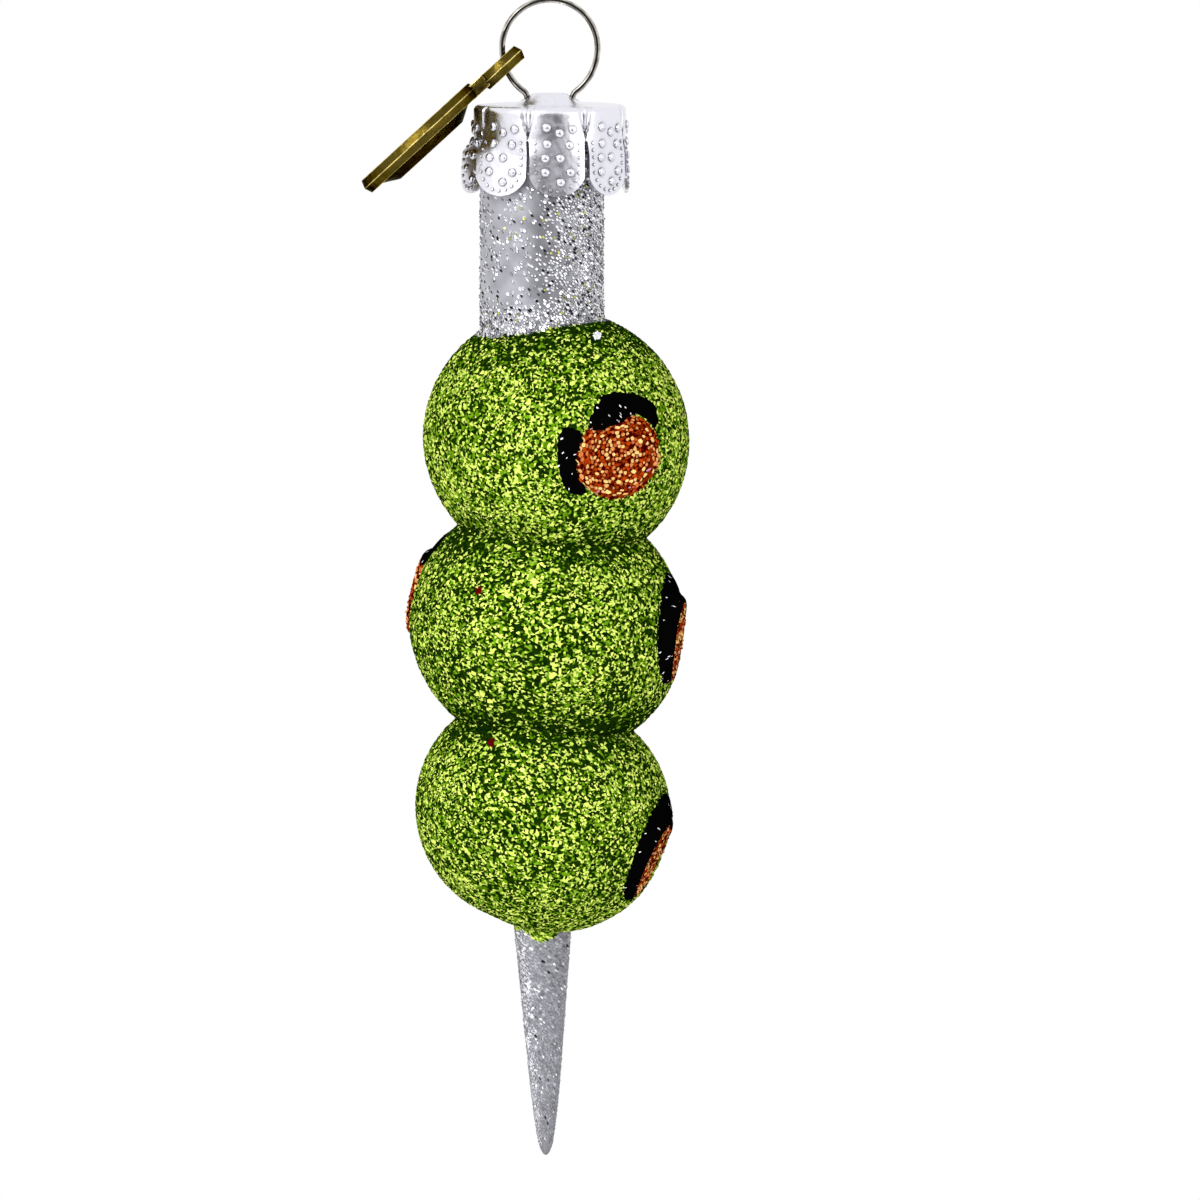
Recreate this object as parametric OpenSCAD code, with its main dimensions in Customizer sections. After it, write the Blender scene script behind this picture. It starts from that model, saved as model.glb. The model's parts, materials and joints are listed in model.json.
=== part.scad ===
// Olive ornament: three glittered glass olives on a silver cocktail pick,
// under a stamped metal cap with a spring wire hanger and a brass tag.
// The origin is the inside top of the wire loop, where a hook carries it. +Z is up, the front faces -Y.

/* [Hanger wire] */
// Diameter of the spring wire
wire_d = 0.6; // [0.4:0.05:0.8]
// Inside diameter of the round loop
loop_d = 8.9; // [8:0.1:11]
// Distance between the two legs where they pass through the cap
leg_gap = 4.5; // [4:0.1:5]
// Bend radius at the foot of the loop, on the wire's centre line
foot_r = 1.3; // [1:0.1:2]
// Bend radius under the cap, where the legs start to spread
spread_r = 1.5; // [1:0.1:3]
// How far the legs reach below the rim of the neck
leg_drop = 17; // [12:0.5:18]
// Gap between each leg's tip and the inside of the neck
leg_clear = 0.2; // [0.1:0.05:0.5]

/* [Cap] */
// Outer diameter of the cap
cap_d = 15.2; // [14.8:0.1:18]
// Sheet thickness of the cap
cap_t = 0.3; // [0.2:0.05:0.4]
// Height from the cap's shoulder down to the ends of its petals
cap_h = 8.8; // [7:0.1:11]
// Height of the plain band above the slits
band_h = 3.2; // [2.5:0.1:4]
// Outer radius of the rounded shoulder
shoulder_r = 0.6; // [0.5:0.05:1]
// Height of the raised boss in the middle of the cap
boss_h = 1.15; // [0.8:0.05:1.6]
// Diameter of the boss at its flat top
boss_top_d = 3; // [2:0.1:3.2]
// Diameter of the boss at its foot
boss_foot_d = 7.2; // [6.4:0.1:8]
// How far the foot of the loop sits below the top of the boss
loop_sink = 0.35; // [0.2:0.05:0.6]
// Gap around the wire in each hole of the cap
hole_clear = 0.25; // [0.15:0.05:0.35]
// Number of petals round the skirt
petal_count = 8; // [6:1:9]
// Turn of the petals from the front to the right, in degrees
petal_turn = 5.8; // [0:0.1:30]
// Width of the slits between petals
slit_w = 0.35; // [0.2:0.05:0.6]
// Width of the short flat at the end of each petal
petal_flat = 0.6; // [0.4:0.1:1.2]

/* [Glass] */
// Outer diameter of the bare glass neck
neck_d = 11.7; // [11:0.1:12]
// Thickness of the blown glass wall
wall_t = 0.85; // [0.6:0.05:1]
// From the rim of the neck down to the middle of the upper olive
neck_l = 33; // [32:0.5:40]
// How far the cap sits to the right of the neck's axis
cap_shift = 0.8; // [0.2:0.1:1]
// Gap between the rim of the neck and the cap
seat_gap = 0.1; // [0.05:0.05:0.3]

/* [Glitter] */
// Thickness of the glitter coat
coat_t = 0.25; // [0.15:0.05:0.4]
// How far the glass stops short of each olive's tip, under its pimento
tip_cut = 0.3; // [0.2:0.05:0.5]

/* [Upper olive] */
// Width of the upper olive
upper_d = 26.4; // [24:0.1:28]
// How much longer than wide the upper olive is
upper_extra = 1.6; // [1.2:0.1:3]
// Offset of the upper olive to the right of the neck's axis
upper_x = 1.4; // [0:0.1:2]
// Turn of the upper olive's front pimento from the front to the right, in degrees
upper_turn = 27.5; // [0:0.1:90]
// Dip of the upper olive's front pimento, in degrees
upper_dip = 4; // [0:0.1:15]
// Turn of the upper olive's back pimento from the front to the left, in degrees
upper_back_turn = 152; // [140:0.5:165]
// Rise of the upper olive's back pimento, in degrees
upper_back_rise = 4; // [0:0.5:15]

/* [Middle olive] */
// Width of the middle olive
middle_d = 25.8; // [24:0.1:28]
// How much longer than wide the middle olive is
middle_extra = 2.2; // [1.2:0.1:3]
// Offset of the middle olive to the right of the neck's axis
middle_x = 0.4; // [0:0.1:2]
// Drop from the middle of the upper olive to the middle of this one
middle_drop = 18.7; // [18:0.1:21]
// Turn of the middle olive's right pimento from the front to the right, in degrees
middle_turn = 77.5; // [0:0.1:90]
// Dip of the middle olive's right pimento, in degrees
middle_dip = 5.5; // [0:0.1:15]
// Turn of the middle olive's left pimento from the front to the left, in degrees
middle_left_turn = 103.5; // [90:0.5:120]
// Rise of the middle olive's left pimento, in degrees
middle_left_rise = 13; // [0:0.5:15]

/* [Lower olive] */
// Width of the lower olive
lower_d = 23.9; // [22:0.1:26]
// How much longer than wide the lower olive is
lower_extra = 2.5; // [1.2:0.1:3]
// Offset of the lower olive to the right of the neck's axis
lower_x = 0.1; // [0:0.1:2]
// Drop from the middle of the middle olive to the middle of this one
lower_drop = 18.65; // [18:0.05:21]
// Turn of the lower olive's right pimento from the front to the right, in degrees
lower_turn = 73; // [0:0.1:90]
// Dip of the lower olive's right pimento, in degrees
lower_dip = 22; // [15:0.1:28]
// Turn of the lower olive's left pimento from the front to the left, in degrees
lower_left_turn = 130; // [100:0.5:150]
// Rise of the lower olive's left pimento, in degrees
lower_left_rise = 20; // [10:0.5:25]

/* [Pick] */
// Diameter of the pick where it leaves the lower olive
pick_d = 5.7; // [4.5:0.1:7]
// From the middle of the lower olive down to the tip of the pick
pick_l = 34.75; // [28:0.05:40]
// Diameter of the rounded tip
tip_d = 1.9; // [1.4:0.1:2.4]
// Offset of the pick to the right of the neck's axis
pick_x = 0.2; // [0:0.1:1]
// Depth of the hollow in the root of the pick, from the middle of the lower olive
pick_hollow = 22; // [18:0.5:24]

/* [Pimentos and pit strokes] */
// Diameter of each pimento
pimento_d = 8.4; // [7:0.1:9]
// How far the middle of a pimento's flat face lies below the olive's tip
face_drop = 0.2; // [0:0.05:0.25]
// Lean of each pimento's face towards its lower right, in degrees
face_lean = 5; // [2:0.5:7]
// Bevel on the pimento's edge
pimento_edge = 0.3; // [0.1:0.05:0.4]
// Reach of the black strokes beyond the pimento's edge
stroke_w = 1.75; // [1.2:0.05:2]
// Fall of a stroke from the pimento's face to the stroke's outer edge
stroke_fall = 1.7; // [1.5:0.05:2]

/* [Tag] */
// Diameter of the round tag
tag_d = 15; // [12:0.1:16]
// Thickness of the tag
tag_t = 1.6; // [1.2:0.1:1.7]
// Width of the slope on each side of the tag's ridged edge
tag_ridge = 0.3; // [0.1:0.05:0.5]
// Width of the raised rim round both faces
tag_rim = 0.9; // [0.6:0.1:1.5]
// Depth of the sunk fields inside the rim
tag_field = 0.25; // [0.1:0.05:0.35]
// Height of the plain raised middle above the rim, on the face towards the cap
relief_h = 0.9; // [0.4:0.05:1]
// Diameter of the raised middle at its flat top
relief_top_d = 8.4; // [6:0.1:9]
// Diameter of the raised middle at its foot
relief_foot_d = 12.4; // [10:0.1:12.5]
// Outer diameter of the tag's eye
eye_d = 5.3; // [5:0.1:6]
// Diameter of the hole in the eye
eye_hole_d = 3.3; // [3:0.1:3.6]
// Distance from the wire to the middle of the hole
eye_slack = 0.4; // [0.2:0.05:0.6]
// Distance of the eye's plane from the middle of the wire, away from the cap
eye_lift = 0.4; // [0:0.05:0.5]
// Step from the eye's plane to the disc's, away from the cap
disc_step = 0.35; // [0:0.05:0.5]
// Width of the stem between the eye and the disc
stem_w = 3.2; // [2.5:0.1:4]
// Length of the stem between the eye and the disc
stem_l = 0.6; // [0.3:0.05:1.5]
// Place of the tag on the loop, in degrees round it from the right
tag_place = 203; // [200:0.5:210]
// Gap between the tag's rim and the shoulder of the cap
tag_gap = 0.85; // [0.5:0.05:1.2]
// Roll of the tag about its own length, in degrees
tag_roll = 1.5; // [0:0.5:8]

/* [Hidden] */
$fn = 96;
// How far a cut runs past what it cuts
over = 1;

// Loop and legs of the wire, in the plane of the loop. Its arcs go in steps of about arc_step degrees.
wire_r = wire_d / 2;
loop_r = loop_d / 2 + wire_r;
loop_z = -loop_d / 2;
foot_turn = asin((leg_gap / 2 + foot_r) / (loop_r + foot_r));
foot_z = loop_z - (loop_r + foot_r) * cos(foot_turn);
arc_step = 7;
wire_sides = 12;

// Heights of the cap, from the foot of the loop down
cap_r = cap_d / 2;
boss_z = foot_z + loop_sink;
shoulder_z = boss_z - boss_h;
skirt_z = shoulder_z - cap_h;
slit_z = shoulder_z - band_h;

// Neck, olives and pick hang under the cap
neck_x = -cap_shift;
neck_r = neck_d / 2;
bore_r = neck_r - wall_t;
rim_z = shoulder_z - cap_t - seat_gap;
leg_top = shoulder_z - cap_t;
leg_end = rim_z - leg_drop;
upper_z = rim_z - neck_l;
middle_z = upper_z - middle_drop;
lower_z = middle_z - lower_drop;
tip_z = lower_z - pick_l;

// One row per olive: middle, radius, half of its extra length, and the turn and dip of both pimentos
UPPER = [
    [neck_x + upper_x, 0, upper_z], upper_d / 2, upper_extra / 2,
    [upper_turn, upper_dip], [-upper_back_turn, -upper_back_rise]
];
MIDDLE = [
    [neck_x + middle_x, 0, middle_z], middle_d / 2, middle_extra / 2,
    [middle_turn, middle_dip], [-middle_left_turn, -middle_left_rise]
];
LOWER = [
    [neck_x + lower_x, 0, lower_z], lower_d / 2, lower_extra / 2,
    [lower_turn, lower_dip], [-lower_left_turn, -lower_left_rise]
];

// Directions on a pimento's face, in degrees from its right side
lean_to = -30;
TOP_STROKE = [40, 126];
LEFT_STROKE = [151, 223];
pimento_r = pimento_d / 2;
// Pimentos and strokes are drawn this deep into the olive, then trimmed to what they lie on
bed_depth = 3;

// The tag lies over the shoulder's rounding: its angle follows from the wire's place and the gap there
tag_wire = [loop_r * cos(tag_place), loop_z + loop_r * sin(tag_place)];
lean_point = [shoulder_r - cap_r, shoulder_z - shoulder_r];
disc_lift = eye_lift + disc_step;
lean_off = shoulder_r + tag_gap + tag_t / 2 - disc_lift;
lean_run = norm(lean_point - tag_wire);
lean_dir = atan2(lean_point[1] - tag_wire[1], lean_point[0] - tag_wire[0]);
tag_dir = lean_dir - asin(lean_off / lean_run);
eye_r = eye_d / 2;
tag_r = tag_d / 2;
tag_mid = eye_slack + eye_r + stem_l + tag_r;

// Points round an arc in the plane of the loop, as [x, z]
function arc(centre, r, from, turn) =
    let(steps = ceil(abs(turn) / arc_step))
    [for (i = [0 : steps])
        let(a = from + turn * i / steps)
        [centre[0] + r * cos(a), centre[1] + r * sin(a)]];

function after_first(list) = [for (i = [1 : len(list) - 1]) list[i]];

// Right half of the wire from the top of the loop to a leg's tip, beside a neck wall at wall_x
function half_wire(wall_x) =
    let(
        spread = wall_x - leg_clear - wire_r - leg_gap / 2,
        run = leg_top - leg_end,
        bend = atan2(run, spread_r - spread) - acos(spread_r / norm([spread_r - spread, run])),
        knee = [leg_gap / 2 + spread_r * (1 - cos(bend)), leg_top - spread_r * sin(bend)]
    )
    concat(
        arc([0, loop_z], loop_r, 90, foot_turn - 180),
        after_first(arc([leg_gap / 2 + foot_r, foot_z], foot_r, 90 + foot_turn, 90 - foot_turn)),
        arc([leg_gap / 2 + spread_r, leg_top], spread_r, 180, bend),
        [[knee[0] + (knee[1] - leg_end) * tan(bend), leg_end]]
    );

// The whole wire, from the left leg's tip over the loop to the right leg's tip
function wire_path() =
    let(
        left = half_wire(bore_r - neck_x),
        right = half_wire(bore_r + neck_x)
    )
    concat(
        [for (i = [len(left) - 1 : -1 : 1]) [-left[i][0], left[i][1]]],
        right
    );

// A round tube along points in the plane of the loop, with flat ends
module tube(path, r) {
    last = len(path) - 1;
    rings = [for (i = [0 : last])
        let(
            along = path[min(i + 1, last)] - path[max(i - 1, 0)],
            side = [-along[1], along[0]] / norm(along)
        )
        [for (k = [0 : wire_sides - 1])
            let(a = 360 * k / wire_sides)
            [
                path[i][0] + r * cos(a) * side[0],
                r * sin(a),
                path[i][1] + r * cos(a) * side[1]
            ]]];
    wall = [for (i = [0 : last - 1], k = [0 : wire_sides - 1])
        let(
            next = (k + 1) % wire_sides,
            a = i * wire_sides + k,
            b = i * wire_sides + next
        )
        each [[a, b, b + wire_sides], [a, b + wire_sides, a + wire_sides]]];
    first_end = [for (k = [wire_sides - 1 : -1 : 0]) k];
    last_end = [for (k = [0 : wire_sides - 1]) last * wire_sides + k];
    polyhedron([for (ring = rings) each ring], concat(wall, [first_end, last_end]));
}

module hanger_wire() {
    color("dimgray")
        tube(wire_path(), wire_r);
}

// Half section of the space under the cap's outside, drawn in by inset, down to a given height
module cap_section(inset, bottom) {
    r = cap_r - inset;
    round_r = shoulder_r - inset;
    top = shoulder_z - inset;
    difference() {
        polygon([
            [0, boss_z - inset],
            [boss_top_d / 2, boss_z - inset],
            [boss_foot_d / 2, top],
            [r, top],
            [r, bottom],
            [0, bottom]
        ]);
        difference() {
            translate([r - round_r, top - round_r])
                square(2 * round_r);
            translate([r - round_r, top - round_r])
                circle(round_r);
        }
    }
}

// The gap between two petals: a slit that opens into the space between two round ends
module petal_gap() {
    half = cap_r * sin(180 / petal_count);
    petal_r = half + slit_w / 2;
    meet = half - petal_flat / 2;
    union() {
        translate([-slit_w / 2, skirt_z - over])
            square([slit_w, slit_z - skirt_z + over]);
        translate([0, slit_z])
            circle(slit_w / 2);
        difference() {
            translate([-meet, skirt_z - over])
                square([2 * meet, petal_r + over]);
            for (side = [-1, 1])
                translate([side * half, skirt_z + petal_r])
                    circle(petal_r);
        }
    }
}

module cap_crown() {
    hole_d = wire_d + 2 * hole_clear;
    inside = (cap_r - cap_t) * cos(180 / petal_count) - over;
    color("silver")
        difference() {
            rotate_extrude()
                cap_section(0, skirt_z);
            rotate_extrude()
                cap_section(cap_t, skirt_z - over);
            for (side = [-1, 1])
                translate([side * leg_gap / 2, 0, shoulder_z - cap_t - over])
                    cylinder(h = boss_h + cap_t + 2 * over, d = hole_d);
            for (k = [0 : petal_count - 1])
                rotate([0, 0, petal_turn + (k + 0.5) * 360 / petal_count])
                    translate([0, -inside, 0])
                        rotate([90, 0, 0])
                            linear_extrude(height = cap_r + over - inside)
                                petal_gap();
        }
}

// A flat round plate with a ridged edge, lying across Z
module ridged_plate(r) {
    rotate_extrude()
        polygon([
            [0, -tag_t / 2],
            [r - tag_ridge, -tag_t / 2],
            [r, 0],
            [r - tag_ridge, tag_t / 2],
            [0, tag_t / 2]
        ]);
}

// The tag runs from the wire along local +X, with local +Z towards the cap
module hang_tag() {
    stem_t = tag_t - tag_ridge;
    color("darkgoldenrod")
        translate([tag_wire[0], 0, tag_wire[1]])
            rotate([tag_roll, -tag_dir, 0]) {
                difference() {
                    union() {
                        translate([eye_slack, 0, -eye_lift])
                            ridged_plate(eye_r);
                        translate([tag_mid, 0, -disc_lift])
                            ridged_plate(tag_r);
                        translate([eye_slack + eye_hole_d / 2, -stem_w / 2, -(eye_lift + disc_lift + stem_t) / 2])
                            cube([eye_r - eye_hole_d / 2 + stem_l + tag_rim, stem_w, stem_t]);
                    }
                    translate([eye_slack, 0, -eye_lift])
                        cylinder(h = 3 * tag_t, d = eye_hole_d, center = true);
                    for (side = [-1, 1])
                        translate([tag_mid, 0, side * (tag_t - tag_field) - disc_lift])
                            cylinder(h = tag_t, r = tag_r - tag_ridge - tag_rim, center = true);
                }
                translate([tag_mid, 0, tag_t / 2 - tag_field - disc_lift])
                    cylinder(h = relief_h + tag_field, d1 = relief_foot_d, d2 = relief_top_d);
            }
}

// An olive, long along Z: two round ends and a short straight middle.
// It is drawn finely, because thin layers lie between two of them.
module olive(r, half_extra) {
    $fn = 240;
    rotate_extrude()
        intersection() {
            union() {
                for (side = [-1, 1])
                    translate([0, side * half_extra])
                        circle(r);
                translate([0, -half_extra])
                    square([r, 2 * half_extra]);
            }
            translate([0, -2 * r])
                square([2 * r, 4 * r]);
        }
}

// Places local +Z from an olive's middle towards its first pimento, or with side -1 its second.
// The olive itself is long towards its first pimento.
module along(row, side = 1) {
    aim = side > 0 ? row[3] : row[4];
    translate(row[0])
        rotate([90 + aim[1], 0, aim[0]])
            children();
}

// The olive with its coat, the bare glass under it, and the hollow inside
module coated(row) {
    along(row)
        olive(row[1], row[2]);
}

module bare(row) {
    along(row)
        olive(row[1] - coat_t, row[2] - tip_cut);
}

module hollow(row) {
    along(row)
        olive(row[1] - coat_t - wall_t, row[2] - tip_cut);
}

// Local origin at the middle of a pimento's face, local +Z out of it
module at_face(row, side) {
    along(row, side)
        translate([0, 0, row[1] + row[2] - face_drop])
            rotate([0, 0, lean_to])
                rotate([0, face_lean, 0])
                    rotate([0, 0, -lean_to])
                        children();
}

module neck_column(r, top) {
    translate([neck_x, 0, upper_z])
        cylinder(h = top - upper_z, r = r);
}

// The pick from the middle of the lower olive to its round tip, drawn in by inset
module spike(inset) {
    tip_r = tip_d / 2 - inset;
    root_r = pick_d / 2 - inset;
    root_z = lower_z - lower_d / 2;
    ball_z = tip_z + tip_d / 2;
    translate([neck_x + pick_x, 0, 0])
        union() {
            translate([0, 0, root_z])
                cylinder(h = lower_z - root_z, r = root_r);
            translate([0, 0, ball_z])
                cylinder(h = root_z - ball_z, r1 = tip_r, r2 = root_r);
            translate([0, 0, ball_z])
                sphere(tip_r);
        }
}

module glass_body() {
    color("gainsboro")
        difference() {
            union() {
                neck_column(neck_r, rim_z);
                bare(UPPER);
                bare(MIDDLE);
                bare(LOWER);
                spike(coat_t);
            }
            union() {
                neck_column(bore_r, rim_z + over);
                hollow(UPPER);
                hollow(MIDDLE);
                hollow(LOWER);
                translate([neck_x + pick_x, 0, lower_z - pick_hollow])
                    cylinder(h = pick_hollow, r1 = tip_d / 4, r2 = pick_d / 2 - coat_t - wall_t);
            }
        }
}

module neck_glitter() {
    color("lightgray")
        difference() {
            neck_column(neck_r + coat_t, rim_z - coat_t);
            neck_column(neck_r, rim_z);
            coated(UPPER);
        }
}

// The space that an olive's two pimentos take out of its coat
module pimento_holes(row) {
    for (side = [-1, 1])
        at_face(row, side)
            translate([0, 0, -bed_depth])
                cylinder(h = 2 * bed_depth, r = pimento_r);
}

module upper_olive_glitter() {
    color("yellowgreen")
        difference() {
            coated(UPPER);
            bare(UPPER);
            neck_column(neck_r, rim_z);
            bare(MIDDLE);
            pimento_holes(UPPER);
        }
}

module middle_olive_glitter() {
    color("yellowgreen")
        difference() {
            coated(MIDDLE);
            bare(MIDDLE);
            coated(UPPER);
            bare(LOWER);
            pimento_holes(MIDDLE);
        }
}

module lower_olive_glitter() {
    color("yellowgreen")
        difference() {
            coated(LOWER);
            bare(LOWER);
            coated(MIDDLE);
            spike(coat_t);
            pimento_holes(LOWER);
        }
}

module pick_glitter() {
    color("lightgray")
        difference() {
            spike(0);
            spike(coat_t);
            coated(LOWER);
        }
}

// A pimento: a flat round button bedded on the glass
module pimento(row, side) {
    color("orangered")
        difference() {
            at_face(row, side)
                rotate_extrude()
                    polygon([
                        [0, -bed_depth],
                        [pimento_r, -bed_depth],
                        [pimento_r, -pimento_edge],
                        [pimento_r - pimento_edge, 0],
                        [0, 0]
                    ]);
            bare(row);
        }
}

// Two black strokes on the coat, above and to the left of a pimento
module strokes(row, side, neighbour) {
    color("black")
        difference() {
            at_face(row, side)
                for (sweep = [TOP_STROKE, LEFT_STROKE])
                    rotate([0, 0, sweep[0]])
                        rotate_extrude(angle = sweep[1] - sweep[0])
                            polygon([
                                [pimento_r, -bed_depth],
                                [pimento_r + stroke_w, -bed_depth],
                                [pimento_r + stroke_w, -stroke_fall],
                                [pimento_r, -pimento_edge]
                            ]);
            coated(row);
            coated(neighbour);
        }
}

module upper_pimento_front() { pimento(UPPER, 1); }
module upper_pimento_back() { pimento(UPPER, -1); }
module middle_pimento_right() { pimento(MIDDLE, 1); }
module middle_pimento_left() { pimento(MIDDLE, -1); }
module lower_pimento_right() { pimento(LOWER, 1); }
module lower_pimento_left() { pimento(LOWER, -1); }
module upper_strokes_front() { strokes(UPPER, 1, MIDDLE); }
module upper_strokes_back() { strokes(UPPER, -1, MIDDLE); }
module middle_strokes_right() { strokes(MIDDLE, 1, UPPER); }
module middle_strokes_left() { strokes(MIDDLE, -1, UPPER); }
module lower_strokes_right() { strokes(LOWER, 1, MIDDLE); }
module lower_strokes_left() { strokes(LOWER, -1, MIDDLE); }

hanger_wire();
cap_crown();
hang_tag();
glass_body();
neck_glitter();
upper_olive_glitter();
middle_olive_glitter();
lower_olive_glitter();
pick_glitter();
upper_pimento_front();
upper_pimento_back();
middle_pimento_right();
middle_pimento_left();
lower_pimento_right();
lower_pimento_left();
upper_strokes_front();
upper_strokes_back();
middle_strokes_right();
middle_strokes_left();
lower_strokes_right();
lower_strokes_left();
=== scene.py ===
import json
import math
import random

import bmesh
import bpy
from mathutils import Matrix, Vector, noise
from mathutils.bvhtree import BVHTree


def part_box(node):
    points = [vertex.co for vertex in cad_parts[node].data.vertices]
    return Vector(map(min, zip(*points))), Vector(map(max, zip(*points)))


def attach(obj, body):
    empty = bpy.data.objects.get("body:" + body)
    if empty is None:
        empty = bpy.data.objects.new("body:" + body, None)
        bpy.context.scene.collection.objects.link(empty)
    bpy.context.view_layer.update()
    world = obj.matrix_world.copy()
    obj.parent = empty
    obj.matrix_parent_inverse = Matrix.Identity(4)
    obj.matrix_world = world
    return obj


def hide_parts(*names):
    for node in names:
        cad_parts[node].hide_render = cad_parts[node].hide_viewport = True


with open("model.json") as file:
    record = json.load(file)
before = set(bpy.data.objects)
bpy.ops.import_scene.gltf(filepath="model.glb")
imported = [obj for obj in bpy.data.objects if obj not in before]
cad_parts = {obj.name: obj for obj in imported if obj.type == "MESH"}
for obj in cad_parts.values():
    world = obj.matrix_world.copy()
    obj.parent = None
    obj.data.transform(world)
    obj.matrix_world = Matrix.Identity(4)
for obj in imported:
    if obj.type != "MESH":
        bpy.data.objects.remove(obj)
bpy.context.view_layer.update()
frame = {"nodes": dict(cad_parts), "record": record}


# Blown glass body
# One tube of thin glass, blown into a neck, three bulbs and a drawn-out spike.
# It is silvered inside, and glitter covers it from below the rim to the tip.

mm = 0.001


def start_material(name, values):
    """A new material, its node tree and its shader, with the values that are the same all over."""
    material = bpy.data.materials.new(name)
    material.use_nodes = True
    shader = material.node_tree.nodes["Principled BSDF"]
    for socket, value in values.items():
        shader.inputs[socket].default_value = value
    return material, material.node_tree, shader


def add_node(tree, kind, settings=None, values=None, sources=None):
    """Adds a node with its settings, the values of its inputs and the outputs that feed it."""
    made = tree.nodes.new(kind)
    for name, value in (settings or {}).items():
        setattr(made, name, value)
    for name, value in (values or {}).items():
        made.inputs[name].default_value = value
    for name, output in (sources or {}).items():
        tree.links.new(output, made.inputs[name])
    return made


def cloudy(tree, scale, low, high, detail=4):
    """A value that drifts between two limits over the piece, with patches of 1 / scale metres."""
    place = add_node(tree, "ShaderNodeTexCoord").outputs["Object"]
    cloud = add_node(tree, "ShaderNodeTexNoise", values={"Scale": scale, "Detail": detail},
                     sources={"Vector": place})
    drift = add_node(tree, "ShaderNodeMapRange",
                     values={"From Min": 0.3, "From Max": 0.7, "To Min": low, "To Max": high},
                     sources={"Value": cloud.outputs["Fac"]})
    return drift.outputs["Result"]


def silvered_glass():
    material, tree, shader = start_material("silvered_glass", {
        "Base Color": (0.82, 0.83, 0.85, 1), "Metallic": 1, "Coat Weight": 1, "Coat Roughness": 0.03})
    tree.links.new(cloudy(tree, 350, 0.05, 0.22), shader.inputs["Roughness"])
    return material


def add_object(name, data):
    made = bpy.data.objects.new(name, data)
    bpy.context.scene.collection.objects.link(made)
    return made


def finish_piece(bm, name, materials, body, slot, *nodes):
    """Makes the piece an object that rides on its body and stands for its solids."""
    mesh = bpy.data.meshes.new(name)
    bm.to_mesh(mesh)
    bm.free()
    for material in materials:
        mesh.materials.append(material)
    piece = add_object(name, mesh)
    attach(piece, body)
    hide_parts(*nodes)
    return piece


neck_x = -0.8 * mm
neck_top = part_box("neck_glitter")[1].z
# The glass shows only at its rim, so below that it is drawn in under the coats
bare_rim = 1 * mm
drawn_in = 0.6 * mm


def smooth_faces(bm):
    for face in bm.faces:
        face.smooth = True


def blow_glass():
    bm = bmesh.new()
    bm.from_mesh(frame["nodes"]["glass_body"].data)
    bm.normal_update()
    for spot in bm.verts:
        out = Vector((spot.co.x - neck_x, spot.co.y, 0))
        if spot.co.z < neck_top - bare_rim and spot.normal.dot(out) > 0:
            spot.co -= spot.normal * drawn_in
    smooth_faces(bm)
    finish_piece(bm, "glass", [silvered_glass()], "glass", "silvered_glass", "glass_body")


blow_glass()


# Green glitter on the three olives
# Each bulb is brushed with glue and rolled in cut foil glitter. The flakes are lime and yellow,
# they lie at every tilt with dark green glue between them, and fewer of them are bright towards
# the waists, as painted shade where the bulbs meet.

class Olive:
    """An olive, in mm and degrees: the middle, width and extra length of its bulb, the turn and dip
    of its two pimentos, how deep their faces lie, and the slope at which its lower half leans."""

    def __init__(self, x, z, width, extra, first, second, drop, lean):
        self.middle = Vector((x, 0, z)) * mm
        self.radius = width / 2 * mm
        self.half_extra = extra / 2 * mm
        self.aims = {1: first, -1: second}
        self.drop = drop * mm
        self.lean = lean

    def frame(self, side):
        """Local +Z runs out of the bulb at its first pimento, or at its second with side -1."""
        turn, dip = (math.radians(angle) for angle in self.aims[side])
        return (Matrix.Translation(self.middle) @ Matrix.Rotation(turn, 4, "Z")
                @ Matrix.Rotation(math.pi / 2 + dip, 4, "X"))


upper_olive = Olive(0.6, -43.549, 26.4, 1.6, (27.5, 4), (-152, -4), 0.3, 0.02)
middle_olive = Olive(-0.4, -62.249, 25.8, 2.2, (77.5, 5.5), (-103.5, -13), 0.3, 0.05)
lower_olive = Olive(-0.7, -80.899, 23.9, 2.5, (73, 22), (-130, -20), 0.75, 0)

# The glue lies this deep under the tips of the flakes
glue_depth = 0.3 * mm

pimento_radius = 4.2 * mm
# How far the faces of the first and second pimento tip, and towards which side of the face
face_lean = {1: math.radians(6), -1: math.radians(2.7)}
lean_to = math.radians(-30)


def face_frame(olive, side):
    """Local origin at the middle of a pimento's face, local +Z out of it, local +Y up."""
    reach = olive.radius + olive.half_extra - olive.drop
    lean = (Matrix.Rotation(lean_to, 4, "Z") @ Matrix.Rotation(face_lean[side], 4, "Y")
            @ Matrix.Rotation(-lean_to, 4, "Z"))
    return olive.frame(side) @ Matrix.Translation((0, 0, reach)) @ lean


def mix_colours(tree, share, first, second):
    """A colour between two, each of them a plain colour or another node's output."""
    mix = add_node(tree, "ShaderNodeMix", {"data_type": "RGBA"}, sources={"Factor": share})
    for socket, colour in ((mix.inputs[6], first), (mix.inputs[7], second)):
        if isinstance(colour, tuple):
            socket.default_value = colour
        else:
            tree.links.new(colour, socket)
    return mix.outputs[2]


def start_group(name, colours):
    """A node group that turns named colours into one, and its inputs as its own nodes read them."""
    group = bpy.data.node_groups.new(name, "ShaderNodeTree")
    for colour in colours:
        group.interface.new_socket(colour, in_out="INPUT", socket_type="NodeSocketColor")
    group.interface.new_socket("Color", in_out="OUTPUT", socket_type="NodeSocketColor")
    return group, group.nodes.new("NodeGroupInput").outputs


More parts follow.
